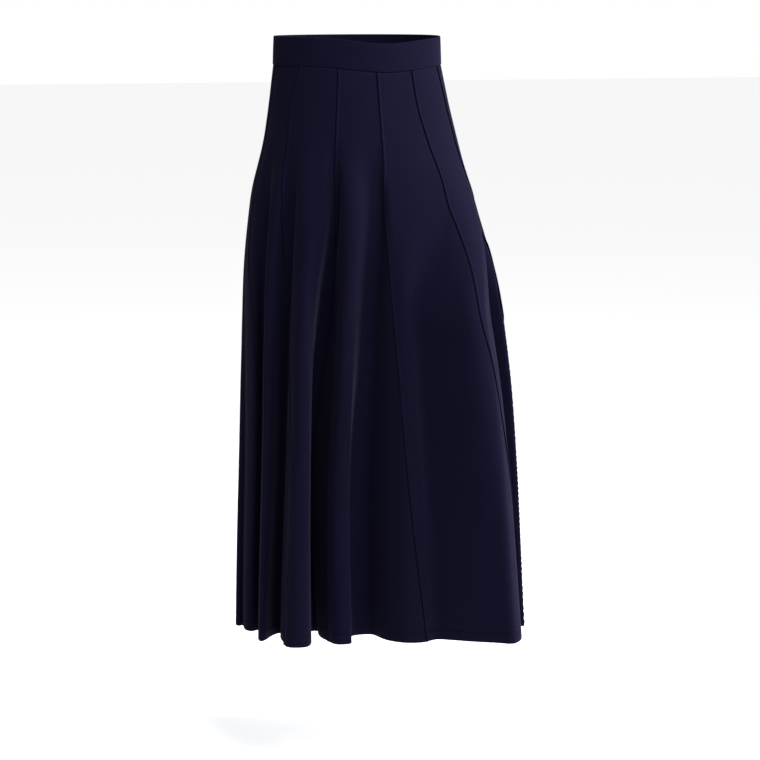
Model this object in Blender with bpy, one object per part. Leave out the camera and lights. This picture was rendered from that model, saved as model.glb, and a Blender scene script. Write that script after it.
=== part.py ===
# Maxi skirt: a flat waistband over twelve equal flared gores that fall into deep soft folds.
# Metres, +Z up, front towards -Y, the wearer's left towards +X, origin at the middle of the waist.
# The working sizes below are in millimetres and degrees. An azimuth is measured about the
# skirt's middle, from the centre front towards the wearer's left.

import bpy
import bmesh
import math

MM = 0.001

BAND_HEIGHT = 45.0
BAND_THICKNESS = 3.0
BAND_PROUD = 0.8
BAND_ROUNDING = 1.2
BAND_TAPER = 1.5
BAND_COLUMNS = 26

GORES = 12
GORE_LENGTH = 893.0
CLOTH = 1.6
HEM_TURNING = 18.0
HEM_THICKNESS = 2.8
HEM_STEP = 1.5
PIECE_GAP = 0.3
RIDGE_WIDTH = 1.4
RIDGE_SLOPE = 0.8
RIDGE_HEIGHT = 1.2
GORE_COLUMNS = 12
ROW_DROPS = (0, 45, 90, 130, 165, 205, 255, 320, 400, 490, 590, 690, 790)

FOLD_EASE = 1.8
FOLD_GROWTH = 0.65
CURVE_STEPS = 30
FITTING_STEPS = 4
DEEPEST_SLACK = 2.0
NORMAL_REACH = 1.5
FULL_LOBES_FROM = 110.0
FULL_LOBES_RUN = 350.0

KNIT_COLOUR = (0.013, 0.012, 0.034, 1.0)
KNIT_ROUGHNESS = 0.8

# The skirt's mean outline by the drop below the waist seam: its reach to each side, to the
# front and to the back, how far its middle sits towards the wearer's left, the width that each
# gore is cut to there, and the azimuth of the centre-front seam.
SECTION_COLUMNS = ("drop", "half_width", "front", "back", "shift", "gore_width", "seam_azimuth")
SECTIONS = (
    (0, 135, 97, 97, 0, 61.0, 2),
    (60, 145, 108, 114, 3, 67.0, 1),
    (110, 155, 117, 131, 6, 74.5, 0),
    (150, 163, 122, 142, 8, 86.0, -0.5),
    (220, 176, 127, 152, 13, 107.0, -1.5),
    (320, 190, 133, 160, 20, 136.0, -2.5),
    (470, 198, 142, 168, 29, 174.0, -2.5),
    (620, 199, 148, 175, 35, 210.0, -1),
    (760, 198, 153, 181, 39, 243.0, 1.5),
    (893, 196, 157, 187, 43, 274.0, 4),
)

# One row for each fold, in order round the skirt: the drop where it starts, then the azimuth of
# its crest at its start and at the hem, and how far the crest stands out of the mean outline at
# the hem, and the same for the dip that follows it. Slack is how much of the fold's depth
# takes up what cloth is left over.
FOLD_COLUMNS = ("start", "crest_top", "crest_hem", "crest_out", "dip_top", "dip_hem", "dip_out", "slack")
FOLDS = (
    (125, -90, -99, 33, -78, -85, -10, 0),
    (125, -68, -70, 46, -59, -72, -18, 0),
    (125, -44, -52, 60, -33, -59, -62, 0),
    (125, -18, -33, 36, -2.5, -24, -50, 0),
    (125, 8, -2, 34, 30, 20, 34, 0),
    (125, 58, 42, 80, 74, 60, -5, 0),
    (120, 88, 77, 36, 97, 89, -55, 0.5),
    (105, 108, 101, 62, 117, 112, -62, 1),
    (105, 128, 124, 58, 138, 135, -60, 1),
    (105, 150, 147, 64, 160, 159, -58, 1),
    (105, 172, 170, 60, 183, 183, -64, 1),
    (105, 195, 194, 62, 206, 207, -60, 1),
    (105, 217, 217, 58, 227, 229, -58, 1),
    (115, 239, 240, 56, 252, 251, -44, 1),
)


def clamp(value):
    return min(1.0, max(0.0, value))


def hermite(a, tangent_a, b, tangent_b, t):
    return (
        (2 * t**3 - 3 * t**2 + 1) * a
        + (t**3 - 2 * t**2 + t) * tangent_a
        + (3 * t**2 - 2 * t**3) * b
        + (t**3 - t**2) * tangent_b
    )


def section_value(name, drop):
    # a smooth curve through one column of SECTIONS
    column = SECTION_COLUMNS.index(name)
    drops = [row[0] for row in SECTIONS]
    values = [row[column] for row in SECTIONS]
    slopes = [
        (values[i + 1] - values[i]) / (drops[i + 1] - drops[i])
        for i in range(len(drops) - 1)
    ]
    tangents = [slopes[0]]
    for before, after in zip(slopes, slopes[1:]):
        tangents.append((before + after) / 2)
    tangents.append(slopes[-1])
    span = 0
    while span < len(slopes) - 1 and drop > drops[span + 1]:
        span += 1
    run = drops[span + 1] - drops[span]
    t = (drop - drops[span]) / run
    return hermite(values[span], tangents[span] * run, values[span + 1], tangents[span + 1] * run, t)


def section_at(drop):
    return {name: section_value(name, drop) for name in SECTION_COLUMNS[1:]}


def fold_marks(drop, slack_depth):
    # (azimuth, distance outside the mean outline) of each crest and dip
    marks = []
    for row in FOLDS:
        fold = dict(zip(FOLD_COLUMNS, row))
        t = clamp((drop - fold["start"]) / (GORE_LENGTH - fold["start"]))
        settled = 1 - (1 - t) ** FOLD_EASE
        depth = t**FOLD_GROWTH * (1 + (slack_depth - 1) * fold["slack"])
        for part in ("crest", "dip"):
            top, hem = fold[part + "_top"], fold[part + "_hem"]
            marks.append((top + (hem - top) * settled, fold[part + "_out"] * depth))
    return marks


def outline_at(drop, section, slack_depth):
    # the closed plan curve of the cloth's outer face: rounded lobes through the folds' marks
    marks = fold_marks(drop, slack_depth)
    count = len(marks)
    fullness = 0.5 + 0.5 * clamp((drop - FULL_LOBES_FROM) / FULL_LOBES_RUN)

    def mark(i):
        azimuth, out = marks[i % count]
        return azimuth + 360 * (i // count), out

    def tangent(i):
        before, after = mark(i - 1), mark(i + 1)
        return [(b - a) * fullness for a, b in zip(before, after)]

    outline = []
    for i in range(count):
        here, there = mark(i), mark(i + 1)
        leaving, arriving = tangent(i), tangent(i + 1)
        for step in range(CURVE_STEPS):
            t = step / CURVE_STEPS
            azimuth = hermite(here[0], leaving[0], there[0], arriving[0], t)
            out = hermite(here[1], leaving[1], there[1], arriving[1], t)
            side, ahead = math.sin(math.radians(azimuth)), math.cos(math.radians(azimuth))
            reach = section["front"] if ahead > 0 else section["back"]
            radius = 1 / math.hypot(side / section["half_width"], ahead / reach) + out
            outline.append((section["shift"] + radius * side, -radius * ahead, azimuth, radius))
    return outline


def lengths_along(outline):
    # distance along the closed outline to each of its points, and back to the first
    lengths = [0.0]
    for a, b in zip(outline, outline[1:] + outline[:1]):
        lengths.append(lengths[-1] + math.dist(a[:2], b[:2]))
    return lengths


def fitted_outline(drop):
    # the slack folds are as deep as the cloth's cut width asks
    section = section_at(drop)
    cut = section["gore_width"] * GORES
    shallow, deep = 0.0, DEEPEST_SLACK
    outline = outline_at(drop, section, shallow)
    shortage = lengths_along(outline)[-1] - cut
    excess = lengths_along(outline_at(drop, section, deep))[-1] - cut
    if shortage >= 0 or excess <= 0:
        return outline, section
    for _ in range(FITTING_STEPS):
        depth = shallow + (deep - shallow) * shortage / (shortage - excess)
        outline = outline_at(drop, section, depth)
        error = lengths_along(outline)[-1] - cut
        if error < 0:
            shallow, shortage = depth, error
        else:
            deep, excess = depth, error
    return outline, section


def seam_start(outline, lengths, seam_azimuth):
    # where the outermost stretch of the outline passes the centre-front seam
    best = None
    for i in range(len(outline) - 1):
        a, b = outline[i], outline[i + 1]
        if a[2] <= seam_azimuth < b[2] and (best is None or a[3] > best[0]):
            t = (seam_azimuth - a[2]) / (b[2] - a[2])
            best = (a[3], lengths[i] + (lengths[i + 1] - lengths[i]) * t)
    return best[1]


class Row:
    # one level of the cloth: the outer face's outline, and places on it by length from the seam

    def __init__(self, drop):
        self.outline, section = fitted_outline(drop)
        self.lengths = lengths_along(self.outline)
        self.total = self.lengths[-1]
        self.seam = seam_start(self.outline, self.lengths, section["seam_azimuth"])
        self.gore = self.total / GORES
        self.height = -(BAND_HEIGHT / 2 + PIECE_GAP + drop)

    def at(self, along):
        place = (self.seam + along) % self.total
        low, high = 0, len(self.lengths) - 1
        while high - low > 1:
            middle = (low + high) // 2
            if self.lengths[middle] <= place:
                low = middle
            else:
                high = middle
        a = self.outline[low]
        b = self.outline[(low + 1) % len(self.outline)]
        t = (place - self.lengths[low]) / (self.lengths[low + 1] - self.lengths[low])
        return a[0] + (b[0] - a[0]) * t, a[1] + (b[1] - a[1]) * t

    def point(self, along, outwards):
        x, y = self.at(along)
        before, after = self.at(along - NORMAL_REACH), self.at(along + NORMAL_REACH)
        run_x, run_y = after[0] - before[0], after[1] - before[1]
        run = math.hypot(run_x, run_y)
        # the outline runs from the front towards +X, so its right side faces out
        return (
            (x + outwards * run_y / run) * MM,
            (y - outwards * run_x / run) * MM,
            self.height * MM,
        )


def gore_stations(width):
    # distances across a gore, and how far the outer face is raised there
    edge = PIECE_GAP / 2
    flat = edge + RIDGE_WIDTH
    foot = flat + RIDGE_SLOPE
    left = [(edge, RIDGE_HEIGHT), (flat, RIDGE_HEIGHT), (foot, 0.0)]
    inner = width - 2 * foot
    middle = [(foot + inner * i / GORE_COLUMNS, 0.0) for i in range(1, GORE_COLUMNS)]
    right = [(width - distance, raised) for distance, raised in reversed(left)]
    return left + middle + right


def near_first_diagonal(corners, middle):
    # whether the quad's first diagonal lies nearer the true surface than its second one
    halves = [
        [(p + q) / 2 for p, q in zip(corners[k], corners[k + 2])]
        for k in (0, 1)
    ]
    return math.dist(halves[0], middle) < math.dist(halves[1], middle)


def solid_from_grids(name, outer, inner, middles, material):
    # a closed wall between two grids of points, each quad split along the folds
    mesh = bmesh.new()
    front = [[mesh.verts.new(point) for point in row] for row in outer]
    back = [[mesh.verts.new(point) for point in row] for row in inner]
    rows, columns = len(front), len(front[0])
    for i in range(rows - 1):
        for j in range(columns - 1):
            places = ((i, j), (i + 1, j), (i + 1, j + 1), (i, j + 1))
            corners = [outer[a][b] for a, b in places]
            turn = 0 if near_first_diagonal(corners, middles[i][j]) else 1
            for grid in (front, back):
                a, b, c, d = [grid[p][q] for p, q in places[turn:] + places[:turn]]
                mesh.faces.new((a, b, c) if grid is front else (c, b, a))
                mesh.faces.new((a, c, d) if grid is front else (d, c, a))
    for i in range(rows - 1):
        mesh.faces.new((front[i][0], back[i][0], back[i + 1][0], front[i + 1][0]))
        mesh.faces.new((front[i][-1], front[i + 1][-1], back[i + 1][-1], back[i][-1]))
    for j in range(columns - 1):
        mesh.faces.new((front[0][j], front[0][j + 1], back[0][j + 1], back[0][j]))
        mesh.faces.new((front[-1][j], back[-1][j], back[-1][j + 1], front[-1][j + 1]))
    return add_object(name, mesh, material)


def add_object(name, mesh, material):
    bmesh.ops.recalc_face_normals(mesh, faces=mesh.faces[:])
    data = bpy.data.meshes.new(name)
    mesh.to_mesh(data)
    mesh.free()
    data.materials.append(material)
    thing = bpy.data.objects.new(name, data)
    bpy.context.scene.collection.objects.link(thing)
    return thing


def knit_material():
    material = bpy.data.materials.new("navy_knit")
    material.use_nodes = True
    shader = material.node_tree.nodes["Principled BSDF"]
    shader.inputs["Base Color"].default_value = KNIT_COLOUR
    shader.inputs["Roughness"].default_value = KNIT_ROUGHNESS
    shader.inputs["Metallic"].default_value = 0.0
    return material


def cloth_rows():
    # (row, wall thickness): the last rows hold the turned-up hem, which is two layers thick
    turning = GORE_LENGTH - HEM_TURNING
    levels = [(drop, CLOTH) for drop in ROW_DROPS]
    levels.append((turning - HEM_STEP, CLOTH))
    levels.append((turning, HEM_THICKNESS))
    levels.append((GORE_LENGTH, HEM_THICKNESS))
    rows = [(Row(drop), thickness) for drop, thickness in levels]
    between = [Row((a[0] + b[0]) / 2) for a, b in zip(levels, levels[1:])]
    return rows, between


def gore_name(index):
    # gores 1 to 6 of each side, counted from the centre front
    half = GORES // 2
    if index < half:
        return f"gore_left_{index + 1}"
    return f"gore_right_{GORES - index}"


def build_gore(index, rows, between, material):
    outer, inner, middles = [], [], []
    for row, thickness in rows:
        stations = gore_stations(row.gore)
        start = row.gore * index
        outer.append([row.point(start + along, raised) for along, raised in stations])
        inner.append([row.point(start + along, -thickness) for along, _ in stations])
    for row in between:
        stations = gore_stations(row.gore)
        start = row.gore * index
        middles.append([
            row.point(start + (a[0] + b[0]) / 2, (a[1] + b[1]) / 2)
            for a, b in zip(stations, stations[1:])
        ])
    return solid_from_grids(gore_name(index), outer, inner, middles, material)


def band_profile():
    # the band's section from its lower outer edge round to its lower inner edge:
    # (out of the waist seam's outline, height)
    half = BAND_HEIGHT / 2
    rounding = BAND_ROUNDING
    outside, inside = BAND_PROUD, BAND_PROUD - BAND_THICKNESS
    return (
        (outside - rounding, -half),
        (outside, -half + rounding),
        (outside, 0),
        (outside - BAND_TAPER, half - rounding),
        (outside - BAND_TAPER - rounding, half),
        (inside - BAND_TAPER + rounding, half),
        (inside - BAND_TAPER, half - rounding),
        (inside, 0),
        (inside, -half + rounding),
        (inside + rounding, -half),
    )


def build_band_half(name, first_azimuth, material):
    section = section_at(0)
    gap = math.degrees(PIECE_GAP / 2 / section["half_width"])
    mesh = bmesh.new()
    rings = []
    for i in range(BAND_COLUMNS + 1):
        azimuth = math.radians(first_azimuth + gap + (180 - 2 * gap) * i / BAND_COLUMNS)
        side, ahead = math.sin(azimuth), math.cos(azimuth)
        radius = 1 / math.hypot(side / section["half_width"], ahead / section["front"])
        ring = []
        for out, height in band_profile():
            point = ((radius + out) * side * MM, -(radius + out) * ahead * MM, height * MM)
            ring.append(mesh.verts.new(point))
        rings.append(ring)
    count = len(rings[0])
    for a, b in zip(rings, rings[1:]):
        for j in range(count):
            k = (j + 1) % count
            mesh.faces.new((a[j], b[j], b[k], a[k]))
    mesh.faces.new(rings[0])
    mesh.faces.new(reversed(rings[-1]))
    return add_object(name, mesh, material)


def build_skirt():
    for thing in list(bpy.data.objects):
        bpy.data.objects.remove(thing, do_unlink=True)
    knit = knit_material()
    build_band_half("waistband_front", -90, knit)
    build_band_half("waistband_back", 90, knit)
    rows, between = cloth_rows()
    for index in range(GORES):
        build_gore(index, rows, between, knit)


build_skirt()
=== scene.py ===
import math

import bpy
import numpy as np
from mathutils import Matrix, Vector


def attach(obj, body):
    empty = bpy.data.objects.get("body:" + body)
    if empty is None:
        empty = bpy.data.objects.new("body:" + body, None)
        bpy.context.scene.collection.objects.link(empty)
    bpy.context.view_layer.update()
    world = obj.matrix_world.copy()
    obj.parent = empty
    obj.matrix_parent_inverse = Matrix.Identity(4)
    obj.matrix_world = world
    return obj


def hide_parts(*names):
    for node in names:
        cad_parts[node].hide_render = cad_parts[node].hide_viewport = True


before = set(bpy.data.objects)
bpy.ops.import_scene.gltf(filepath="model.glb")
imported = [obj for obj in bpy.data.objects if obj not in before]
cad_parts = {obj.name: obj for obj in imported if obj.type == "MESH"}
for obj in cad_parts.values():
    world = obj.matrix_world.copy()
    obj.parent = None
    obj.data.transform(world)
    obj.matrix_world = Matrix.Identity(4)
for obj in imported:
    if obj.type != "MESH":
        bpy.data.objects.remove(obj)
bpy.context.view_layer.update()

# Lengths are in millimetres and angles in degrees until a mesh is made.
# An azimuth runs from the centre front (-Y) towards the skirt's own left side (+X).
mm = 0.001

# how the cloth hangs, shared by every gore
cloth = {
    "gores": 12,
    "length": 893.0,
    "middleDrop": 400.0,    # where the marks' middle places are read
    "waistDrop": 22.8,      # from the middle of the band to the gores' top edge
    "foldHold": 0.10,       # a mark keeps its top azimuth for this share of its fold's length,
    "foldTop": 0.144,       # passes its top depth at this share
    "foldMiddle": 0.38,     # and its middle place at this one
    "swayTurn": 540.0,      # how far the slow wander turns down a fold, and how fast it sets in
    "swayIn": 3.0,
    "frontDip": 11.0,       # the waist seam sags this much at the front and rises round the sides
    "dipAzimuth": 13.0,
    "dipReach": 46.0,
    "dipFade": 230.0,       # the sag fades out by this drop
    "curveSteps": 44,       # points between a crest and the dip beside it
    "perDegree": 3.0,       # roughly the length round the skirt that a degree takes
    "fullFrom": 110.0,      # lobes get rounder from this drop on
    "fullRun": 350.0,
    "slackMost": 2.0,       # how much the spare folds may deepen, and the tries at finding it
    "slackTries": 5,
    "faceSpan": 1.6,        # the way the cloth faces is read this far to each side
}

# mean outline by the drop below the waist seam
sectionColumns = ("drop", "halfWidth", "front", "back", "shift", "goreWidth", "seamAzimuth")
sectionRows = (
    (0, 135, 97, 97, 0, 61, 2),
    (60, 145, 108, 114, 3, 67, 1),
    (110, 155, 117, 131, 6, 73.3, 0),
    (130, 159, 119.5, 136.5, 7, 77.2, 0),
    (150, 163, 122, 142, 8, 83.5, -0.5),
    (180, 169.5, 124, 146.5, 10, 93.5, -1),
    (220, 176, 127, 152, 13, 107, -1.5),
    (320, 190, 133, 160, 20, 136, -2),
    (470, 198, 142, 168, 29, 174, -1),
    (620, 199, 148, 175, 35, 210, 1),
    (760, 198, 153, 181, 39, 243, 5),
    (893, 196, 157, 187, 43, 274, 10),
)

# where the photo was taken from, turned round the skirt; lengths in metres
shot = {
    "azimuth": -16.5,
    "distance": 5.2,
    "rise": 0.14,
    "aim": -0.515,
    "right": 0.036,
    "frame": 1.216,         # how wide the view is at the skirt
    "pixels": 760,
}

# points that the cloth's outline passes, in turn round the skirt; at the front each has the drop
# where its fold starts, its azimuth and how far out it is near the top, then the photo's column
# that shows it and how far forward it hangs, further down and at the hem, and how round the cloth
# turns there; a fold that settles early hangs straight from that share of its length on
frontColumns = (
    "start", "top", "outTop", "middleX", "middleForward", "hemX", "hemForward", "settled", "round",
)
frontRows = (
    (95, -106, 10, 242.6, -12, 236, -16, 1, 1.2),
    (95, -102, 9, 243.4, 4, 238.8, 0, 1, 1),
    (95, -98, 8, 244.9, 10, 242.4, -6, 1, 1),
    (95, -92, 7, 248, 38, 246.3, 35, 1, 1),
    (95, -86, 3, 256, 58, 252, 43, 1, 1),
    (95, -82, -3, 263, 52, 261, 28, 1, 1),
    (95, -79, -5, 267, 56, 265, 32, 1, 1),
    (105, -74, 6, 266.2, 106, 261, 122, 1, 1),
    (105, -69, 7, 273, 103, 266, 112, 1, 1),
    (95, -67, -6, 283.5, 84, 276, 66, 1, 1),
    (95, -61, -5, 290, 82, 281, 56, 1, 1),
    (95, -54, 13, 291.5, 121, 283, 124, 1, 1),
    (95, -49, 16, 299.5, 147, 290, 170, 1, 1),
    (95, -45, 12.5, 307, 147, 306, 167, 0.8, 1),
    (95, -40, 6, 314, 127, 312, 130, 0.8, 1),
    (95, -38, -10, 319.5, 86, 312, 42, 0.8, 1),
    (95, -34, -13, 328, 83, 317, 40, 0.8, 1),
    (95, -30, 7, 336, 110, 326, 112, 0.8, 1),
    (95, -26, 13, 343, 138, 338, 146, 0.8, 1),
    (95, -20, 10, 353, 135, 351, 140, 0.8, 1),
    (95, -11, -9, 362, 99, 354.5, 76, 0.8, 1),
    (95, -2, -12, 375, 94, 372, 68, 0.8, 1),
    (95, 0, -1, 390, 119, 391, 119, 1, 1),
    (95, 7, 2, 401, 127, 408, 134, 1, 1),
    (95, 16, 4, 409, 126, 423, 130, 1, 1),
    (95, 34, 9, 417, 113, 438, 106, 1, 1),
    (95, 41, 13, 428, 117, 454, 113, 1, 1),
    (95, 46, 17, 447, 132, 470, 122, 1, 1),
    (95, 53, 18, 472, 146, 496, 133, 1, 1),
    (95, 60, 16, 486, 133, 513.5, 140, 1, 1),
    (95, 68, 13, 490.5, 102, 519.5, 123, 1, 1),
    (95, 73, 8, 492.5, 64, 522.2, 86, 1, 1),
    (95, 77, 1, 480, -12, 506, 0, 1, 1),
    (95, 86, 6, 504, -16, 525, -2, 1, 1.2),
)
frontShared = {"slack": 0, "sway": 0.2, "phase": 80}

# round the sides and back the points are azimuths and distances outside the mean outline;
# slack is the share of the depth that takes up spare cloth, sway a slow wander on the way down
backColumns = (
    "start", "top", "middle", "hem", "outTop", "outMiddle", "outHem", "round",
    "slack", "sway", "phase",
)
backRows = (
    (92, 97, 91, 86, -16, -29, -55, 2, 0.5, 0.7, 60),
    (84, 108, 103, 101, 18, 33, 62, 2, 1, 0.8, 230),
    (100, 117, 114, 112, -18, -33, -62, 2, 1, 0.8, 230),
    (122, 128, 125, 124, 16, 31, 58, 2, 1, 0.7, 110),
    (108, 138, 136, 135, -17, -32, -60, 2, 1, 0.7, 110),
    (90, 150, 148, 147, 18, 34, 64, 2, 1, 0.8, 340),
    (84, 160, 159, 159, -16, -31, -58, 2, 1, 0.8, 340),
    (104, 172, 171, 170, 17, 32, 60, 2, 1, 0.7, 170),
    (124, 183, 183, 183, -18, -34, -64, 2, 1, 0.7, 170),
    (102, 195, 194, 194, 18, 33, 62, 2, 1, 0.8, 40),
    (86, 206, 207, 207, -17, -32, -60, 2, 1, 0.8, 40),
    (98, 217, 217, 217, 16, 31, 58, 2, 1, 0.7, 280),
    (120, 227, 227, 226, -16, -31, -58, 2, 1, 0.7, 280),
    (106, 237, 235, 234, 15, 28, 52, 2, 1, 0.6, 130),
    (95, 245, 243, 243, -12, -23, -44, 2, 1, 0.6, 130),
)

# how far five seams beside the centre-front one stray from an even split, by drop;
# each is counted from the centre-front seam, towards the skirt's left where it is positive
strayColumns = ("drop", "right2", "right1", "left1", "left2", "left3")
straySeams = [-3, -2, 1, 2, 3]
strayRows = (
    (0, 0, 0, 0, 4, 0),
    (60, -9, 0, 1, 9, 0),
    (110, -7, 0, 9, 11, 0),
    (150, -9, 0, 12, 6, 0),
    (180, -14, -3, 11, 2, 0),
    (220, -15, -6, 7, 4, 0),
    (320, -18, -7, 0, 35, 18),
    (470, -8, 0, 0, 36, 20),
    (620, 0, 0, 0, 10, 6),
    (893, 0, 0, 0, 0, 0),
)


def hermite(a, leaving, b, arriving, t):
    return (
        (2 * t**3 - 3 * t**2 + 1) * a
        + (t**3 - 2 * t**2 + t) * leaving
        + (3 * t**2 - 2 * t**3) * b
        + (t**3 - t**2) * arriving
    )


def smoothStep(t):
    t = np.clip(t, 0.0, 1.0)
    return t * t * (3 - 2 * t)


def rowAt(drop, columns, table):
    # a smooth curve through each column of a table that runs down the skirt
    rows = np.array(table, float)
    drops, values = rows[:, 0], rows[:, 1:]
    slopes = np.diff(values, axis=0) / np.diff(drops)[:, None]
    tangents = np.vstack([slopes[:1], (slopes[1:] + slopes[:-1]) / 2, slopes[-1:]])
    span = int(np.clip(np.searchsorted(drops, drop) - 1, 0, len(drops) - 2))
    run = drops[span + 1] - drops[span]
    leaving, arriving = tangents[span] * run, tangents[span + 1] * run
    found = hermite(values[span], leaving, values[span + 1], arriving, (drop - drops[span]) / run)
    return dict(zip(columns[1:], found))


def slopeBetween(first, last):
    # the slope where two runs meet, so that the curve never overshoots either
    return 0.0 if first * last <= 0 else 2 * first * last / (first + last)


def between(top, middle, hem, settled, t):
    # holds at the top, passes the middle place and comes to the hem's
    hold, half = cloth["foldHold"], cloth["foldMiddle"]
    before, after = half - hold, settled - half
    first, last = (middle - top) / before, (hem - middle) / after
    slope = slopeBetween(first, last)
    if t < half:
        return hermite(top, 0, middle, slope * before, max(0.0, (t - hold) / before))
    arriving = last * after if settled >= 1 else 0
    return hermite(middle, slope * after, hem, arriving, min(1.0, (t - half) / after))


def depthAt(top, middle, hem, t):
    # a fold fades in, then passes its depths near the top, further down and at the hem
    high, half = cloth["foldTop"], cloth["foldMiddle"]
    first, second, third = top / high, (middle - top) / (half - high), (hem - middle) / (1 - half)
    upper, lower = slopeBetween(first, second), slopeBetween(second, third)
    if t < high:
        return hermite(0, 0, top, upper * high, t / high)
    if t < half:
        run = half - high
        return hermite(top, upper * run, middle, lower * run, (t - high) / run)
    run = 1 - half
    return hermite(middle, lower * run, hem, third * run, (t - half) / run)


def meanRadius(azimuth, section):
    side, front = np.sin(np.radians(azimuth)), np.cos(np.radians(azimuth))
    reach = np.where(front > 0, section["front"], section["back"])
    return 1 / np.hypot(side / section["halfWidth"], front / reach)


def fromPhoto(column, forward, drop):
    # azimuth and distance outside the mean outline of what the photo shows at this column
    section = rowAt(drop, sectionColumns, sectionRows)
    turn = math.radians(shot["azimuth"])
    height = -(cloth["waistDrop"] + drop) * mm
    fall = shot["aim"] - shot["rise"]
    away = (shot["distance"] - forward * mm) * shot["distance"] + (height - shot["rise"]) * fall
    perPixel = shot["frame"] / shot["pixels"] * away / (shot["distance"] ** 2 + fall**2)
    right = (shot["right"] + (column - shot["pixels"] / 2) * perPixel) / mm
    x = math.cos(turn) * right + math.sin(turn) * forward - section["shift"]
    y = math.sin(turn) * right - math.cos(turn) * forward
    azimuth = math.degrees(math.atan2(x, -y))
    return azimuth, math.hypot(x, y) - float(meanRadius(azimuth, section))


def readMarks():
    # every mark with the same entries, the front ones first
    marks = []
    for row in frontRows:
        mark = dict(zip(frontColumns, row), **frontShared)
        middle = fromPhoto(mark["middleX"], mark["middleForward"], cloth["middleDrop"])
        hem = fromPhoto(mark["hemX"], mark["hemForward"], cloth["length"])
        mark["middle"], mark["outMiddle"] = middle
        mark["hem"], mark["outHem"] = hem
        marks.append(mark)
    return marks + [dict(zip(backColumns, row), settled=1) for row in backRows]


markList = readMarks()


def foldMarks(drop, slackDepth):
    # azimuth and distance outside the mean outline of each mark, and its roundness
    marks = []
    for mark in markList:
        t = min(1.0, max(0.0, (drop - mark["start"]) / (cloth["length"] - mark["start"])))
        depth = depthAt(mark["outTop"], mark["outMiddle"], mark["outHem"], t)
        depth *= 1 + (slackDepth - 1) * mark["slack"]
        wave = math.sin(math.radians(mark["phase"] + cloth["swayTurn"] * t))
        wander = mark["sway"] * wave * min(1.0, cloth["swayIn"] * t)
        azimuth = between(mark["top"], mark["middle"], mark["hem"], mark["settled"], t) + wander
        marks.append((azimuth, depth, mark["round"]))
    return np.array(marks)


def outlineAt(drop, section, slackDepth):
    # points round the skirt at one level, with their azimuths and distances from the middle
    marks = foldMarks(drop, slackDepth)
    fullness = min(1.0, max(0.0, (drop - cloth["fullFrom"]) / cloth["fullRun"]))
    roundness = 1 + (marks[:, 2] - 1) * fullness
    here = marks[:, :2]
    ahead = np.roll(here, -1, axis=0)
    ahead[-1, 0] += 360
    step = ahead - here
    run = np.sqrt(np.hypot(cloth["perDegree"] * step[:, 0], step[:, 1]))[:, None]
    rate = step / run
    lastRun, lastRate = np.roll(run, 1, axis=0), np.roll(rate, 1, axis=0)
    tangent = (rate * lastRun + lastRate * run) / (run + lastRun) * roundness[:, None]
    leaving, arriving = tangent * run, np.roll(tangent, -1, axis=0) * run
    t = (np.arange(cloth["curveSteps"]) / cloth["curveSteps"])[None, :, None]
    curve = hermite(here[:, None], leaving[:, None], ahead[:, None], arriving[:, None], t)
    curve = curve.reshape(-1, 2)
    side, front = np.sin(np.radians(curve[:, 0])), np.cos(np.radians(curve[:, 0]))
    radius = meanRadius(curve[:, 0], section) + curve[:, 1]
    points = np.stack([section["shift"] + radius * side, -radius * front], axis=1)
    return points, curve[:, 0], radius


def lengthsAlong(points):
    steps = np.linalg.norm(np.roll(points, -1, axis=0) - points, axis=1)
    return np.concatenate([[0.0], np.cumsum(steps)])


def hungOutline(drop, section):
    # deepens the spare folds until the way round is as long as the gores' cut
    cut = section["goreWidth"] * cloth["gores"]
    shallow, deep = 0.0, cloth["slackMost"]
    outline, fullest = outlineAt(drop, section, shallow), outlineAt(drop, section, deep)
    short = lengthsAlong(outline[0])[-1] - cut
    over = lengthsAlong(fullest[0])[-1] - cut
    if short >= 0:
        return outline
    if over <= 0:
        return fullest
    for attempt in range(cloth["slackTries"]):
        depth = shallow + (deep - shallow) * short / (short - over)
        outline = outlineAt(drop, section, depth)
        error = lengthsAlong(outline[0])[-1] - cut
        if error < 0:
            shallow, short = depth, error
        else:
            deep, over = depth, error
    return outline


def waistRise(azimuth):
    # height of the waist seam above its lowest point at the front
    away = (np.asarray(azimuth) - cloth["dipAzimuth"] + 180) % 360 - 180
    return cloth["frontDip"] * (1 - np.exp(-((away / cloth["dipReach"]) ** 2)))


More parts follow.
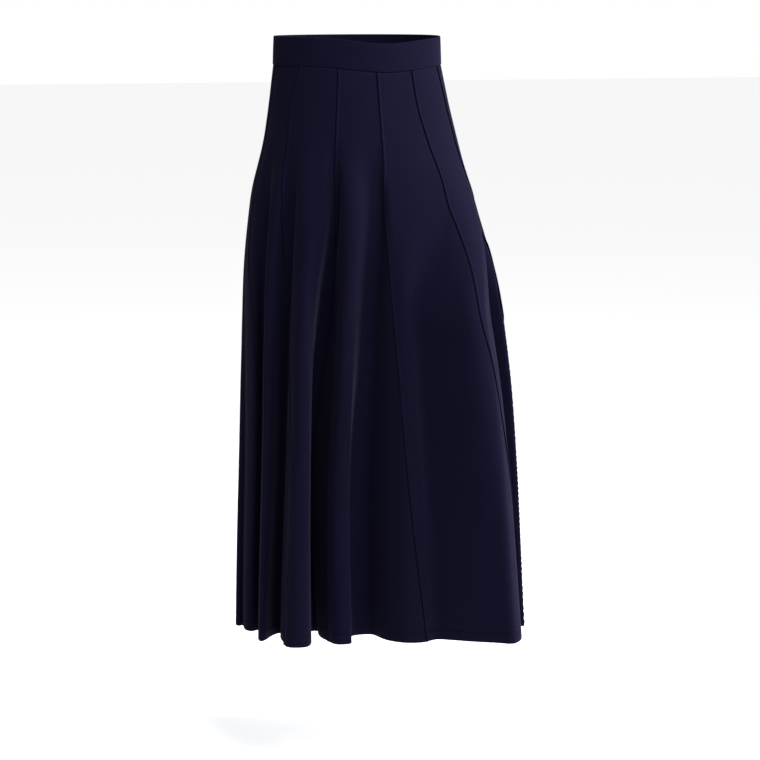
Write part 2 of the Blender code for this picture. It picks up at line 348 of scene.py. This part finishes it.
class ClothRow:
    # one level of the hanging cloth, read by length from the centre-front seam

    def __init__(self, drop):
        section = rowAt(drop, sectionColumns, sectionRows)
        points, azimuths, radius = hungOutline(drop, section)
        self.drop, self.shift = drop, section["shift"]
        self.lengths = lengthsAlong(points)
        self.total = self.lengths[-1]
        self.closed = np.vstack([points, points[:1]])
        centre = section["seamAzimuth"]
        crossings = np.nonzero((azimuths[:-1] <= centre) & (azimuths[1:] > centre))[0]
        i = crossings[np.argmax(radius[crossings])]
        t = (centre - azimuths[i]) / (azimuths[i + 1] - azimuths[i])
        self.seam = self.lengths[i] + (self.lengths[i + 1] - self.lengths[i]) * t
        self.gore = self.total / cloth["gores"]
        self.seams = self.gore * np.arange(cloth["gores"] + 1)
        stray = rowAt(drop, strayColumns, strayRows)
        self.seams[straySeams] += [stray[name] for name in strayColumns[1:]]

    def at(self, along):
        place = np.mod(self.seam + np.asarray(along, float), self.total)
        flat = [np.interp(place, self.lengths, self.closed[:, axis]) for axis in (0, 1)]
        return np.stack(flat, axis=-1)

    def normals(self, along):
        # the outline runs round towards +X, so its right side faces out
        along, span = np.asarray(along), cloth["faceSpan"]
        run = self.at(along + span) - self.at(along - span)
        run /= np.linalg.norm(run, axis=-1, keepdims=True)
        return np.stack([run[..., 1], -run[..., 0]], axis=-1)

    def place(self, along, out):
        # world points, out millimetres outside the cloth's face
        flat = self.at(along) + self.normals(along) * np.asarray(out)[..., None]
        azimuth = np.degrees(np.arctan2(flat[..., 0] - self.shift, -flat[..., 1]))
        rise = waistRise(azimuth) * (1 - smoothStep(self.drop / cloth["dipFade"]))
        height = (rise - cloth["waistDrop"] - self.drop)[..., None]
        return np.concatenate([flat, height], axis=-1) * mm


# the navy double knit; colours are linear
knit = {
    "colour": (0.0073, 0.0070, 0.0222, 1.0),
    "lightColour": (0.0099, 0.0097, 0.0297, 1.0),
    # the colour that the painted shade darkens towards in the seams, folds, dents and stitch gaps
    "paintedShadeColour": (0.0020, 0.0018, 0.0060, 1.0),
    "roughness": 0.78,
    "fuzzRoughness": 0.12,  # how much the fuzz varies the roughness
    "specular": 0.02,
    "sheen": 0.05,
    "sheenRoughness": 0.42,
    "sheenTint": (0.62, 0.60, 1.0, 1.0),
    "wale": 0.85,           # mm between the columns of knit stitches
    "course": 0.62,         # mm between the rows
    "slant": 1.3,           # how steeply the legs of a stitch lean
    "ribSharpness": 0.6,
    "gapPaintedShade": 0.22,       # how much painted shade darkens the gaps between stitches
    "fuzzRelief": 0.5,
    "bump": 0.35,
    "bumpDepth": 0.00012,   # m
    "toneSpread": 0.7,      # how much of the way to the light colour the dye's patches go
    "toneShift": -0.1,
}

# slow unevenness of the dye and the cloth's fine fuzz: noise scales per metre, and their detail
dye = {"patches": 9.0, "patchDetail": 3.0, "fuzz": 900.0, "fuzzDetail": 2.0}


def newSocket(tree, name, kind, value=None, side="INPUT"):
    socket = tree.interface.new_socket(name=name, in_out=side, socket_type=kind)
    if value is not None:
        socket.default_value = value
    return socket


def link(tree, fromSocket, toSocket):
    tree.links.new(fromSocket, toSocket)


def mathNode(tree, operation, first, second=None, third=None, clamp=False):
    node = tree.nodes.new("ShaderNodeMath")
    node.operation = operation
    node.use_clamp = clamp
    for slot, value in enumerate((first, second, third)):
        if value is None:
            continue
        if hasattr(value, "is_output"):
            link(tree, value, node.inputs[slot])
        else:
            node.inputs[slot].default_value = value
    return node.outputs[0]


def noiseNode(tree, place, detail=None):
    noise = tree.nodes.new("ShaderNodeTexNoise")
    if detail is not None:
        noise.inputs["Detail"].default_value = detail
    link(tree, place, noise.inputs["Vector"])
    return noise


def colourMix(tree, first, second, factor):
    mix = tree.nodes.new("ShaderNodeMix")
    mix.data_type = "RGBA"
    for slot, value in (("A", first), ("B", second)):
        if hasattr(value, "is_output"):
            link(tree, value, mix.inputs[slot])
        else:
            mix.inputs[slot].default_value = value
    link(tree, factor, mix.inputs["Factor"])
    return mix.outputs["Result"]


def makeKnitGroup():
    # fine double-knit face: V-shaped stitches in columns, from a UV map in millimetres
    tree = bpy.data.node_groups.new("knitFace", "ShaderNodeTree")
    newSocket(tree, "Place", "NodeSocketVector")
    newSocket(tree, "Wale", "NodeSocketFloat", knit["wale"])
    newSocket(tree, "Course", "NodeSocketFloat", knit["course"])
    newSocket(tree, "Height", "NodeSocketFloat", side="OUTPUT")
    newSocket(tree, "Gap", "NodeSocketFloat", side="OUTPUT")
    group = tree.nodes.new("NodeGroupInput")
    result = tree.nodes.new("NodeGroupOutput")
    split = tree.nodes.new("ShaderNodeSeparateXYZ")
    link(tree, group.outputs["Place"], split.inputs[0])
    across = mathNode(tree, "DIVIDE", split.outputs[0], group.outputs["Wale"])
    column = mathNode(tree, "FRACT", across)
    fromMiddle = mathNode(tree, "ABSOLUTE", mathNode(tree, "SUBTRACT", column, 0.5))
    down = mathNode(tree, "DIVIDE", split.outputs[1], group.outputs["Course"])
    slanted = mathNode(tree, "ADD", down, mathNode(tree, "MULTIPLY", fromMiddle, knit["slant"]))
    leg = mathNode(tree, "FRACT", slanted)
    legShape = mathNode(tree, "SINE", mathNode(tree, "MULTIPLY", leg, math.pi))
    rib = mathNode(tree, "SINE", mathNode(tree, "MULTIPLY", fromMiddle, 2 * math.pi))
    ribShape = mathNode(tree, "POWER", rib, knit["ribSharpness"])
    height = mathNode(tree, "MULTIPLY", legShape, ribShape)
    link(tree, height, result.inputs["Height"])
    gap = mathNode(tree, "SUBTRACT", 1.0, height, clamp=True)
    link(tree, gap, result.inputs["Gap"])
    return tree


def makeDyeGroup():
    # slow unevenness of the dyed cloth, and its fine fuzz
    tree = bpy.data.node_groups.new("dyeTone", "ShaderNodeTree")
    newSocket(tree, "Place", "NodeSocketVector")
    newSocket(tree, "Patch size", "NodeSocketFloat", dye["patches"])
    newSocket(tree, "Tone", "NodeSocketFloat", side="OUTPUT")
    newSocket(tree, "Fuzz", "NodeSocketFloat", side="OUTPUT")
    group = tree.nodes.new("NodeGroupInput")
    result = tree.nodes.new("NodeGroupOutput")
    patches = noiseNode(tree, group.outputs["Place"], dye["patchDetail"])
    link(tree, group.outputs["Patch size"], patches.inputs["Scale"])
    fuzz = noiseNode(tree, group.outputs["Place"], dye["fuzzDetail"])
    fuzz.inputs["Scale"].default_value = dye["fuzz"]
    link(tree, patches.outputs["Fac"], result.inputs["Tone"])
    link(tree, fuzz.outputs["Fac"], result.inputs["Fuzz"])
    return tree


def makeKnitMaterial(name, knitGroup, dyeGroup):
    material = bpy.data.materials.new(name)
    material.use_nodes = True
    tree = material.node_tree
    shader = tree.nodes["Principled BSDF"]
    uv = tree.nodes.new("ShaderNodeUVMap")
    uv.uv_map = "cloth"
    coordinates = tree.nodes.new("ShaderNodeTexCoord")
    toMillimetres = tree.nodes.new("ShaderNodeVectorMath")
    toMillimetres.operation = "SCALE"
    toMillimetres.inputs["Scale"].default_value = 1000.0
    link(tree, uv.outputs["UV"], toMillimetres.inputs[0])

    face = tree.nodes.new("ShaderNodeGroup")
    face.node_tree = knitGroup
    face.inputs["Wale"].default_value = knit["wale"]
    face.inputs["Course"].default_value = knit["course"]
    link(tree, toMillimetres.outputs[0], face.inputs["Place"])
    tint = tree.nodes.new("ShaderNodeGroup")
    tint.node_tree = dyeGroup
    tint.inputs["Patch size"].default_value = dye["patches"]
    link(tree, coordinates.outputs["Object"], tint.inputs["Place"])

    # painted shade darkens the seams' ditches, the welts' folds, the hem's dents, the band's
    # bottom edge and the gaps between stitches
    spread, shift = knit["toneSpread"], knit["toneShift"]
    tone = mathNode(tree, "MULTIPLY_ADD", tint.outputs["Tone"], spread, shift, clamp=True)
    base = colourMix(tree, knit["colour"], knit["lightColour"], tone)
    paintedShade = tree.nodes.new("ShaderNodeAttribute")
    paintedShade.attribute_name = "paintedShade"
    gap, gapPaintedShade = face.outputs["Gap"], knit["gapPaintedShade"]
    shade = mathNode(tree, "MULTIPLY_ADD", gap, gapPaintedShade, paintedShade.outputs["Fac"], clamp=True)
    link(tree, colourMix(tree, base, knit["paintedShadeColour"], shade), shader.inputs["Base Color"])

    fuzz, varies = tint.outputs["Fuzz"], knit["fuzzRoughness"]
    rough = mathNode(tree, "MULTIPLY_ADD", fuzz, varies, knit["roughness"] - varies / 2)
    link(tree, rough, shader.inputs["Roughness"])
    relief = mathNode(tree, "MULTIPLY_ADD", fuzz, knit["fuzzRelief"], face.outputs["Height"])
    bump = tree.nodes.new("ShaderNodeBump")
    bump.inputs["Strength"].default_value = knit["bump"]
    bump.inputs["Distance"].default_value = knit["bumpDepth"]
    link(tree, relief, bump.inputs["Height"])
    link(tree, bump.outputs["Normal"], shader.inputs["Normal"])

    shader.inputs["Specular IOR Level"].default_value = knit["specular"]
    shader.inputs["Sheen Weight"].default_value = knit["sheen"]
    shader.inputs["Sheen Roughness"].default_value = knit["sheenRoughness"]
    shader.inputs["Sheen Tint"].default_value = knit["sheenTint"]
    return material


thread = {
    "colour": (0.010, 0.0095, 0.030, 1.0),
    "darkColour": (0.006, 0.0057, 0.018, 1.0),
    "roughness": 0.6,
    "specular": 0.2,
    "twist": 2600.0,
}


def makeThreadMaterial():
    material = bpy.data.materials.new("navyThread")
    material.use_nodes = True
    tree = material.node_tree
    shader = tree.nodes["Principled BSDF"]
    coordinates = tree.nodes.new("ShaderNodeTexCoord")
    strands = noiseNode(tree, coordinates.outputs["Object"])
    strands.inputs["Scale"].default_value = thread["twist"]
    colour = colourMix(tree, thread["darkColour"], thread["colour"], strands.outputs["Fac"])
    link(tree, colour, shader.inputs["Base Color"])
    shader.inputs["Roughness"].default_value = thread["roughness"]
    shader.inputs["Specular IOR Level"].default_value = thread["specular"]
    return material


def ringFaces(rows, columns):
    # quads over rows of points, the last row joined to the first one
    index = np.arange(rows * columns).reshape(rows, columns)
    index = np.vstack([index, index[:1]])
    a, b = index[:-1, :-1], index[1:, :-1]
    c, d = index[1:, 1:], index[:-1, 1:]
    return np.stack([a, b, c, d], axis=-1).reshape(-1, 4).tolist()


def addPiece(name, data):
    piece = bpy.data.objects.new(name, data)
    bpy.context.scene.collection.objects.link(piece)
    return piece


def clothPiece(name, points, uvs, shades, faces, material):
    # a mesh with its cut laid out as the UV map, and its painted shade as an attribute
    mesh = bpy.data.meshes.new(name)
    mesh.from_pydata(points.reshape(-1, 3).tolist(), [], faces)
    mesh.materials.append(material)
    layer = mesh.uv_layers.new(name="cloth")
    corners = np.empty(len(mesh.loops), dtype=np.int32)
    mesh.loops.foreach_get("vertex_index", corners)
    layer.data.foreach_set("uv", uvs.reshape(-1, 2)[corners].astype(np.float32).ravel())
    attribute = mesh.attributes.new("paintedShade", "FLOAT", "POINT")
    attribute.data.foreach_set("value", shades.reshape(-1).astype(np.float32))
    mesh.shade_smooth()
    return addPiece(name, mesh)


gore = {
    "wall": 1.3,
    "hemWall": 2.4,
    "hemDepth": 16.0,
    "weltWidth": 3.8,       # the raised edge beside each seam, towards the skirt's left
    "weltHeight": 1.4,
    "weltRound": 0.24,      # the shares of its width that its folded edge takes
    "weltFlat": 0.62,       # and that it stays high for, before it falls off
    "weltFall": 0.5,
    "tuck": 1.0,            # how far the other edge dips under the welt
    "tuckWidth": 3.0,
    "allowance": 9.0,       # pressed seam turnings on the inside
    "allowanceWall": 0.9,
    "allowanceEdge": 0.8,
    "ditchPaintedShade": 0.85,     # painted shade beside the welt, and in its fold
    "ditchWidth": 1.6,
    "foldPaintedShade": 0.6,
    "foldWidth": 0.5,
    "dentPaintedShade": 0.5,       # painted shade on rows dented between these depths: the hem's stitch line and one row round its folded edge
    "dentFrom": 0.3,
    "dentTo": 0.5,
    "columns": 56,
    "stations": (0.0, 0.12, 0.4, 0.9, 1.6, 2.4, 3.0, 3.5, 4.0, 4.8, 6.5, 9.0, 9.6),
    "stationShare": 2.4,    # a narrow gore gives its stations one part in this of its width
    "rows": ((0, 100, 22), (100, 260, 44)),
    "lastRows": 76,
    "stitchGap": 4.0,       # the plain rows stop this far from the stitch line
    "hemRows": 7,
    "hemGap": 2.2,
    "hemTurns": (20, 42, 62, 80),
    # offset from the hem's stitch line, how deep its dent is there and how much thicker the cloth
    "stitchRows": (
        (-2.2, 0.0, 0.0),
        (-1.2, 0.12, 0.0),
        (-0.5, 0.35, 0.0),
        (0.0, 0.42, 0.1),
        (0.5, 0.35, 0.5),
        (1.2, 0.10, 1.1),
        (2.4, 0.0, 1.1),
    ),
}


def weltRise(distance):
    # the welt's rounded section by the distance from its folded edge
    t = np.asarray(distance) / gore["weltWidth"]
    edge = np.sqrt(np.clip(1 - (1 - np.clip(t / gore["weltRound"], 0, 1)) ** 2, 0, 1))
    fall = 1 - smoothStep((t - gore["weltFlat"]) / gore["weltFall"])
    return gore["weltHeight"] * edge * fall


def goreLevels():
    # (drop, how far in the outer face is, how far in the inner face is) down the cloth
    length, wall, hemWall = cloth["length"], gore["wall"], gore["hemWall"]
    stitch = length - gore["hemDepth"]
    drops = [np.linspace(*run)[:-1] for run in gore["rows"]]
    lastTop, lastEnd = gore["rows"][-1][1], stitch - gore["stitchGap"]
    drops.append(np.linspace(lastTop, lastEnd, gore["lastRows"]))
    levels = [(drop, 0.0, wall) for drop in np.concatenate(drops)]
    for offset, dent, thicker in gore["stitchRows"]:
        levels.append((stitch + offset, dent, min(wall + thicker, hemWall)))
    hemTop, hemEnd = stitch + gore["stitchGap"], length - gore["hemGap"]
    levels += [(drop, 0.0, hemWall) for drop in np.linspace(hemTop, hemEnd, gore["hemRows"])]
    middle = hemWall / 2
    for turn in [math.radians(angle) for angle in gore["hemTurns"]]:
        drop = length - middle + middle * math.sin(turn)
        levels.append((drop, middle - middle * math.cos(turn), middle + middle * math.cos(turn)))
    return levels


def goreName(index):
    half = cloth["gores"] // 2
    if index < half:
        return f"gore_left_{index + 1}"
    return f"gore_right_{cloth['gores'] - index}"


def sideStrips(rows, columns):
    # quads that close the two side edges of a gore, between its outer and inner rows
    strips = []
    for column in (0, columns - 1):
        for i in range(rows // 2 - 1):
            levels = (i, rows - 1 - i, rows - 2 - i, i + 1)
            strip = [level * columns + column for level in levels]
            strips.append(strip if column == 0 else strip[::-1])
    return strips


def makeGore(index, levels, rows, material):
    # its rows go down the outer face, round the hem and up the inner face
    stations = np.array(gore["stations"])
    outer, inner, uvs, shades = [], [], [], []
    for (drop, outDip, inDip), row in zip(levels, rows):
        width = row.gore
        squeeze = min(1.0, width / gore["stationShare"] / stations[-1])
        edge = stations * squeeze
        middle = np.linspace(edge[-1], width - edge[-1], gore["columns"] + 2)[1:-1]
        across = np.concatenate([edge, middle, width - edge[::-1]])
        fromEnd = width - across
        along = np.interp(across, (0, width), row.seams[index:index + 2])

        rise = weltRise(across / squeeze)
        tuck = -gore["tuck"] * (1 - smoothStep(fromEnd / gore["tuckWidth"]))
        past = np.minimum(across, fromEnd) - gore["allowance"]
        turning = gore["allowanceWall"] * (1 - smoothStep(past / gore["allowanceEdge"]))
        share = min(1.0, abs(inDip - outDip) / gore["wall"])
        outer.append(row.place(along, rise + tuck - outDip))
        inner.append(row.place(along, np.minimum(tuck, 0) - inDip - turning * share))

        uvs.append(np.stack([across, np.full_like(across, drop)], axis=-1) * mm)
        # painted shade beside the welt, in its fold and in the hem's dents
        shade = gore["ditchPaintedShade"] * (1 - smoothStep(fromEnd / gore["ditchWidth"]))
        shade = shade + gore["foldPaintedShade"] * (1 - smoothStep(across / gore["foldWidth"]))
        dented = gore["dentFrom"] < outDip < gore["dentTo"]
        shades.append(np.clip(shade + gore["dentPaintedShade"] * dented, 0, 1))
    points = np.array(outer + inner[::-1])
    count, columns = points.shape[:2]
    faces = ringFaces(count, columns) + sideStrips(count, columns)
    uvs, shades = np.array(uvs + uvs[::-1]), np.array(shades + shades[::-1])
    return clothPiece("knit_" + goreName(index), points, uvs, shades, faces, material)


band = {
    "height": 45.0,
    "thickness": 3.0,
    "cut": (0.369, 0.047),  # m, each half laid flat
    "proud": 0.8,           # the band stands this far outside the gores
    "taper": 1.5,           # and leans in this much towards its top
    "rounding": 1.3,
    "columns": 120,
    "faceRows": 16,
    "insideRows": 10,
    "endGap": 0.03,         # degrees left open at each side join
    "ripple": 0.25,         # a faint unevenness of the stretched knit
    "rippleLengths": (17.0, 29.0),
    "ripplePhase": 1.3,
    "ditchHeight": 0.9,     # painted shade along the bottom edge at the waist seam
    "ditchPaintedShade": 0.7,
}


def bandArc(out, up, turns):
    # points of a rounded edge about its centre
    r = band["rounding"]
    return [(out + r * math.cos(turn), up + r * math.sin(turn)) for turn in np.radians(turns)]


def bandProfile():
    # outer bottom edge, up the face, over the top and down the inside
    half, r = band["height"] / 2, band["rounding"]
    outside, inside = band["proud"], band["proud"] - band["thickness"]
    topFlat, topTurns = band["thickness"] - 2 * r, np.linspace(15, 165, 9)
    profile = bandArc(outside - r, -half + r, np.linspace(-80, 0, 6))
    for height in np.linspace(-half + r, half - r, band["faceRows"])[1:]:
        profile.append((outside - band["taper"] * (height + half) / (2 * half), height))
    profile += bandArc(outside - band["taper"] - r, half - r, topTurns[:4])
    profile += bandArc(outside - band["taper"] - r - topFlat, half - r, topTurns[4:])
    for height in np.linspace(half - r, -half + r, band["insideRows"]):
        profile.append((inside - band["taper"] * (height + half) / (2 * half), height))
    profile += bandArc(inside + r, -half + r, np.linspace(180, 260, 5))
    return np.array(profile)


def makeBandHalf(name, firstAzimuth, material):
    section = rowAt(0, sectionColumns, sectionRows)
    profile = bandProfile()
    ends = (band["endGap"], 180 - band["endGap"])
    azimuths = firstAzimuth + np.linspace(*ends, band["columns"])
    side, front = np.sin(np.radians(azimuths)), np.cos(np.radians(azimuths))
    radius = meanRadius(azimuths, section)
    steps = np.hypot(np.diff(radius * side), np.diff(radius * front))
    along = np.concatenate([[0], np.cumsum(steps)])
    down = np.concatenate([[0], np.cumsum(np.hypot(*np.diff(profile, axis=0).T))])

    out, up = profile[:, :1], profile[:, 1:]
    fullest = np.sin(np.clip(up / band["height"] + 0.5, 0, 1) * math.pi)
    short, long = band["rippleLengths"]
    wave = np.sin(along / short) * np.sin(along / long + band["ripplePhase"])
    reach = radius[None] + out + band["ripple"] * wave[None] * fullest
    heights = up + waistRise(azimuths)[None]
    points = np.stack([reach * side[None], -reach * front[None], heights], axis=-1) * mm
    uvs = np.stack(np.broadcast_arrays(along[None], down[:, None]), axis=-1) * mm
    # painted shade along the bottom edge at the waist seam
    low = up < -band["height"] / 2 + band["ditchHeight"]
    shades = np.where(low, band["ditchPaintedShade"], 0.0) * np.ones((1, len(side)))

    count, columns = points.shape[:2]
    faces = [face[::-1] for face in ringFaces(count, columns)]
    ring = list(range(0, count * columns, columns))
    faces += [ring, [i + columns - 1 for i in ring][::-1]]
    return clothPiece("knit_" + name, points, uvs, shades, faces, material)


hemStitch = {
    "length": 2.9,
    "pitch": 3.6,
    "width": 0.42,
    "shortest": 0.9,        # the stitches vary between these shares of their size
    "longest": 1.08,
    "seed": 7,
    "segments": 6,
    "rings": 5,
    "drop": 877.0,
    "out": -0.12,
    "pathPoints": 2400,
}


def makeStitchTree(material):
    # repeats one short thread along a curve
    tree = bpy.data.node_groups.new("stitchRow", "GeometryNodeTree")
    newSocket(tree, "Geometry", "NodeSocketGeometry")
    newSocket(tree, "Pitch", "NodeSocketFloat", hemStitch["pitch"] * mm)
    newSocket(tree, "Length", "NodeSocketFloat", hemStitch["length"] * mm)
    newSocket(tree, "Width", "NodeSocketFloat", hemStitch["width"] * mm)
    newSocket(tree, "Geometry", "NodeSocketGeometry", side="OUTPUT")
    nodes = tree.nodes
    group = nodes.new("NodeGroupInput")
    result = nodes.new("NodeGroupOutput")
    resample = nodes.new("GeometryNodeResampleCurve")
    resample.mode = "LENGTH"
    link(tree, group.outputs["Geometry"], resample.inputs["Curve"])
    link(tree, group.outputs["Pitch"], resample.inputs["Length"])
    tangent = nodes.new("GeometryNodeInputTangent")
    align = nodes.new("FunctionNodeAlignRotationToVector")
    align.axis = "Z"
    link(tree, tangent.outputs[0], align.inputs["Vector"])
    # a bead one unit across, scaled to the size of a stitch
    bead = nodes.new("GeometryNodeMeshUVSphere")
    bead.inputs["Segments"].default_value = hemStitch["segments"]
    bead.inputs["Rings"].default_value = hemStitch["rings"]
    bead.inputs["Radius"].default_value = 0.5
    size = nodes.new("ShaderNodeCombineXYZ")
    for axis, name in enumerate(("Width", "Width", "Length")):
        link(tree, group.outputs[name], size.inputs[axis])
    wobble = nodes.new("FunctionNodeRandomValue")
    wobble.data_type = "FLOAT"
    wobble.inputs[2].default_value = hemStitch["shortest"]
    wobble.inputs[3].default_value = hemStitch["longest"]
    wobble.inputs["Seed"].default_value = hemStitch["seed"]
    scale = nodes.new("ShaderNodeVectorMath")
    scale.operation = "SCALE"
    link(tree, size.outputs[0], scale.inputs[0])
    link(tree, wobble.outputs[1], scale.inputs["Scale"])
    instances = nodes.new("GeometryNodeInstanceOnPoints")
    link(tree, resample.outputs["Curve"], instances.inputs["Points"])
    link(tree, bead.outputs["Mesh"], instances.inputs["Instance"])
    link(tree, align.outputs[0], instances.inputs["Rotation"])
    link(tree, scale.outputs[0], instances.inputs["Scale"])
    realize = nodes.new("GeometryNodeRealizeInstances")
    link(tree, instances.outputs[0], realize.inputs[0])
    finish = nodes.new("GeometryNodeSetMaterial")
    finish.inputs["Material"].default_value = material
    link(tree, realize.outputs[0], finish.inputs["Geometry"])
    link(tree, finish.outputs[0], result.inputs["Geometry"])
    return tree


def makeStitches(name, points, tree):
    # runs the tree along a closed path and keeps the result as a plain mesh
    curve = bpy.data.curves.new(name + "Path", "CURVE")
    curve.dimensions = "3D"
    spline = curve.splines.new("POLY")
    spline.points.add(len(points) - 1)
    spline.points.foreach_set("co", np.hstack([points, np.ones((len(points), 1))]).ravel())
    spline.use_cyclic_u = True
    path = addPiece(name + "Path", curve)
    modifier = path.modifiers.new("stitches", "NODES")
    modifier.node_group = tree
    graph = bpy.context.evaluated_depsgraph_get()
    mesh = bpy.data.meshes.new_from_object(path.evaluated_get(graph))
    bpy.data.objects.remove(path, do_unlink=True)
    mesh.shade_smooth()
    return addPiece(name, mesh)


studio = {
    "waistHeight": 1.11,    # m from the floor to the middle of the band
    "floorSize": 60.0,
    "floorColour": (0.93, 0.93, 0.94, 1.0),
    "floorRoughness": 0.9,
    "floorSpecular": 0.1,
    "floorGlow": 0.74,
    "glowColour": (0.97, 1.0, 1.04, 1.0),
    "worldColour": (1.0, 0.90, 0.76, 1.0),
    "worldStrength": 0.22,
    "backdrop": (1.0, 1.0, 1.0, 1.0),
    # name, place, aim, size, power and colour of each soft light
    "lights": (
        ("high", (0.6, -1.8, 2.9), (0.0, 0, -0.1), (1.8, 1.4), 120, (1.0, 0.99, 1.06)),
        ("side", (3.3, -0.6, 1.3), (0.05, 0, -0.2), (1.5, 2.0), 122, (1.0, 0.99, 1.07)),
        ("fill", (-3.0, -2.6, 0.4), (0, 0, -0.5), (1.6, 2.4), 4, (1.0, 1.0, 1.0)),
    ),
}


def makeStage():
    half, level = studio["floorSize"] / 2, -studio["waistHeight"]
    square = ((-half, -half), (half, -half), (half, half), (-half, half))
    corners = [(x, y, level) for x, y in square]
    mesh = bpy.data.meshes.new("floor")
    mesh.from_pydata(corners, [], [(0, 1, 2, 3)])
    floor = addPiece("floor", mesh)
    material = bpy.data.materials.new("paleFloor")
    material.use_nodes = True
    tree = material.node_tree
    shader = tree.nodes["Principled BSDF"]
    shader.inputs["Roughness"].default_value = studio["floorRoughness"]
    shader.inputs["Specular IOR Level"].default_value = studio["floorSpecular"]
    shader.inputs["Base Color"].default_value = studio["floorColour"]
    # the floor looks white to the camera without lighting the skirt from below
    glow = tree.nodes.new("ShaderNodeEmission")
    glow.inputs["Color"].default_value = studio["glowColour"]
    glow.inputs["Strength"].default_value = studio["floorGlow"]
    dark = tree.nodes.new("ShaderNodeEmission")
    dark.inputs["Strength"].default_value = 0.0
    rays = tree.nodes.new("ShaderNodeLightPath")
    seen = tree.nodes.new("ShaderNodeMixShader")
    link(tree, rays.outputs["Is Camera Ray"], seen.inputs[0])
    link(tree, dark.outputs[0], seen.inputs[1])
    link(tree, glow.outputs[0], seen.inputs[2])
    both = tree.nodes.new("ShaderNodeAddShader")
    link(tree, shader.outputs[0], both.inputs[0])
    link(tree, seen.outputs[0], both.inputs[1])
    link(tree, both.outputs[0], tree.nodes["Material Output"].inputs["Surface"])
    mesh.materials.append(material)


def areaLight(name, place, aim, size, power, colour):
    data = bpy.data.lights.new(name, "AREA")
    data.shape = "RECTANGLE"
    data.size, data.size_y = size
    data.energy = power
    data.color = colour
    light = addPiece(name, data)
    light.location = place
    light.rotation_euler = (Vector(aim) - Vector(place)).to_track_quat("-Z", "Y").to_euler()


def makeLights():
    # a warm dim surround lights the skirt, and the camera sees it white
    world = bpy.data.worlds.new("studio")
    world.use_nodes = True
    tree = world.node_tree
    soft = tree.nodes["Background"]
    soft.inputs["Color"].default_value = studio["worldColour"]
    soft.inputs["Strength"].default_value = studio["worldStrength"]
    white = tree.nodes.new("ShaderNodeBackground")
    white.inputs["Color"].default_value = studio["backdrop"]
    rays = tree.nodes.new("ShaderNodeLightPath")
    mix = tree.nodes.new("ShaderNodeMixShader")
    link(tree, rays.outputs["Is Camera Ray"], mix.inputs[0])
    link(tree, soft.outputs[0], mix.inputs[1])
    link(tree, white.outputs[0], mix.inputs[2])
    link(tree, mix.outputs[0], tree.nodes["World Output"].inputs["Surface"])
    bpy.context.scene.world = world
    for light in studio["lights"]:
        areaLight(*light)
    bpy.context.scene.view_settings.view_transform = "Standard"


def makeCamera():
    # stands where the shot at the top of the file says
    turn = math.radians(shot["azimuth"])
    back = Vector((math.sin(turn), -math.cos(turn), 0))
    right = Vector((math.cos(turn), math.sin(turn), 0))
    place = back * shot["distance"] + right * shot["right"] + Vector((0, 0, shot["rise"]))
    aim = right * shot["right"] + Vector((0, 0, shot["aim"]))
    data = bpy.data.cameras.new("camera")
    data.sensor_width = 36.0
    data.lens = data.sensor_width * (aim - place).length / shot["frame"]
    camera = addPiece("camera", data)
    camera.location = place
    camera.rotation_euler = (aim - place).to_track_quat("-Z", "Y").to_euler()
    bpy.context.scene.camera = camera


def main():
    makeStage()
    makeLights()
    makeCamera()
    print("stage, lights and camera are set")

    navyKnit = makeKnitMaterial("navyKnit", makeKnitGroup(), makeDyeGroup())
    navyThread = makeThreadMaterial()
    print("knit and thread materials made")

    levels = goreLevels()
    rows = [ClothRow(min(level[0], cloth["length"])) for level in levels]
    print("cloth hung over", len(rows), "rows")

    for index in range(cloth["gores"]):
        piece = makeGore(index, levels, rows, navyKnit)
        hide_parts(goreName(index))
        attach(piece, "root")

    for name, firstAzimuth in (("waistband_front", -90), ("waistband_back", 90)):
        piece = makeBandHalf(name, firstAzimuth, navyKnit)
        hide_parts(name)
        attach(piece, "root")
    print("waistband made")

    hemRow = ClothRow(hemStitch["drop"])
    around = np.linspace(0, hemRow.total, hemStitch["pathPoints"], endpoint=False)
    path = hemRow.place(around, np.full_like(around, hemStitch["out"]))
    stitches = makeStitches("hem_stitches", path, makeStitchTree(navyThread))
    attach(stitches, "root")
    print("hem stitched")


main()
